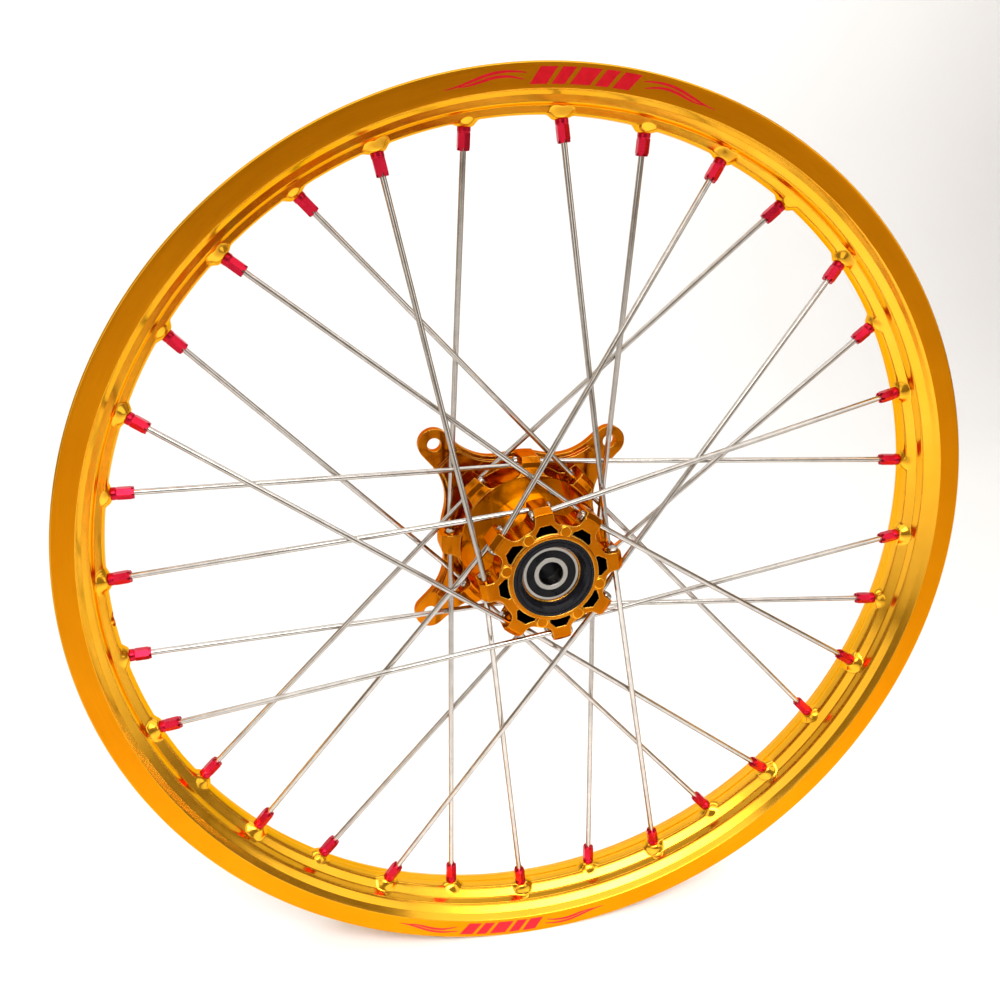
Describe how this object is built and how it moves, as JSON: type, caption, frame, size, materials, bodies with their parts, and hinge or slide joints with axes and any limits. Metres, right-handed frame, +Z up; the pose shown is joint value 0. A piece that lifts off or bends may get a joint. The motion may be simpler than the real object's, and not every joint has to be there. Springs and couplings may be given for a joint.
{
  "type": "spoked motorcycle wheel",
  "caption": "Bare laced front wheel for an off-road motorcycle: gold rim with red nipples, lobed cast hub, sealed bearings and an armed brake disc carrier.",
  "frame": {"origin": "centre of the wheel: on the axle's axis, in the rim's middle plane", "axes": "+Y along the axle towards the brake disc side, +Z up, valve hole on the -X side"},
  "size_m": [0.5606, 0.0915, 0.5606],
  "materials": {
    "rim_gold": "anodised gold, satin flanges and bright well",
    "hub_gold": "glossy gold anodised casting",
    "spoke_steel": "polished stainless wire",
    "nipple_red": "bright red anodised",
    "seal_rubber": "semi-gloss moulded rubber",
    "bearing_steel": "ground bearing steel",
    "shield_rubber": "black moulded contact seal",
    "cage_nylon": "moulded cage",
    "tube_alloy": "turned, plain"
  },
  "bodies": {
    "axle_stack": {"bearing_left_inner_race": "bearing_steel", "bearing_right_inner_race": "bearing_steel", "distance_tube": "tube_alloy"},
    "wheel": {"rim": "rim_gold", "hub": "hub_gold", "spoke_01": "spoke_steel", "spoke_02": "spoke_steel", "spoke_03": "spoke_steel", "spoke_04": "spoke_steel", "spoke_05": "spoke_steel", "spoke_06": "spoke_steel", "spoke_07": "spoke_steel", "spoke_08": "spoke_steel", "spoke_09": "spoke_steel", "spoke_10": "spoke_steel", "spoke_11": "spoke_steel", "spoke_12": "spoke_steel", "spoke_13": "spoke_steel", "spoke_14": "spoke_steel", "spoke_15": "spoke_steel", "spoke_16": "spoke_steel", "spoke_17": "spoke_steel", "spoke_18": "spoke_steel", "spoke_19": "spoke_steel", "spoke_20": "spoke_steel", "spoke_21": "spoke_steel", "spoke_22": "spoke_steel", "spoke_23": "spoke_steel", "spoke_24": "spoke_steel", "spoke_25": "spoke_steel", "spoke_26": "spoke_steel", "spoke_27": "spoke_steel", "spoke_28": "spoke_steel", "spoke_29": "spoke_steel", "spoke_30": "spoke_steel", "spoke_31": "spoke_steel", "spoke_32": "spoke_steel", "nipples_right_leading": "nipple_red", "nipples_left_leading": "nipple_red", "nipples_right_trailing": "nipple_red", "nipples_left_trailing": "nipple_red", "dust_seal_left": "seal_rubber", "dust_seal_right": "seal_rubber", "bearing_left_outer_race": "bearing_steel", "bearing_left_outer_shield": "shield_rubber", "bearing_left_inner_shield": "shield_rubber", "bearing_right_outer_race": "bearing_steel", "bearing_right_outer_shield": "shield_rubber", "bearing_right_inner_shield": "shield_rubber"},
    "ball_set_left": {"bearing_left_balls": "bearing_steel", "bearing_left_cage": "cage_nylon"},
    "ball_set_right": {"bearing_right_balls": "bearing_steel", "bearing_right_cage": "cage_nylon"}
  },
  "joints": [
    {"name": "wheel_spin", "type": "hinge", "parent": "axle_stack", "child": "wheel", "pos_m": [0, 0, 0], "axis": [0, 1, 0], "continuous": true},
    {"name": "ball_set_left_spin", "type": "hinge", "parent": "axle_stack", "child": "ball_set_left", "pos_m": [0, 0, 0], "axis": [0, 1, 0], "continuous": true},
    {"name": "ball_set_right_spin", "type": "hinge", "parent": "axle_stack", "child": "ball_set_right", "pos_m": [0, 0, 0], "axis": [0, 1, 0], "continuous": true}
  ],
  "couplings": [
    {"joint": "ball_set_left_spin", "follows": "wheel_spin", "ratio": 0.619},
    {"joint": "ball_set_right_spin", "follows": "wheel_spin", "ratio": 0.619}
  ]
}
